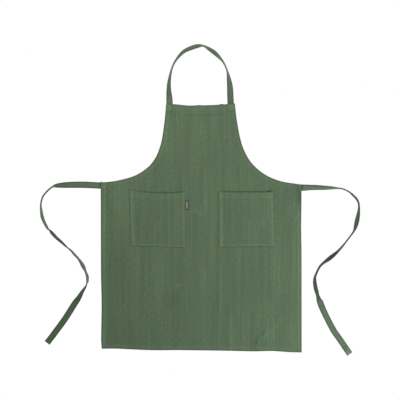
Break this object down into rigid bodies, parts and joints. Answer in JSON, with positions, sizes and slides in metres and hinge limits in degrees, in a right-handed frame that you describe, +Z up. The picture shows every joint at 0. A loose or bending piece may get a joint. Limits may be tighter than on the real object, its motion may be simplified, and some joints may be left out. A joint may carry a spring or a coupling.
{
  "type": "kitchen apron",
  "caption": "Bib apron of green cotton cloth laid out flat, with hemmed edges, a fixed neck loop, hollow patch pockets with open mouths and loose waist ties.",
  "frame": {"origin": "middle of the whole footprint, ties and neck loop included, on the surface that the apron lies on", "axes": "+X across the apron to the right of the lying front, +Y from the hem to the neck loop, +Z up from the surface"},
  "size_m": [1.1125, 1.0846, 0.0222],
  "materials": {
    "apron_cloth": "matt woven cotton with slubby vertical yarns",
    "strap_cloth": "the same cotton, folded and edge stitched",
    "label_tape": "plain grey woven tape"
  },
  "bodies": {
    "root": {"apron_panel": "apron_cloth", "pocket_left": "apron_cloth", "pocket_right": "apron_cloth", "neck_strap": "strap_cloth", "waist_tie_left": "strap_cloth", "waist_tie_right": "strap_cloth", "pocket_label": "label_tape"}
  },
  "joints": []
}
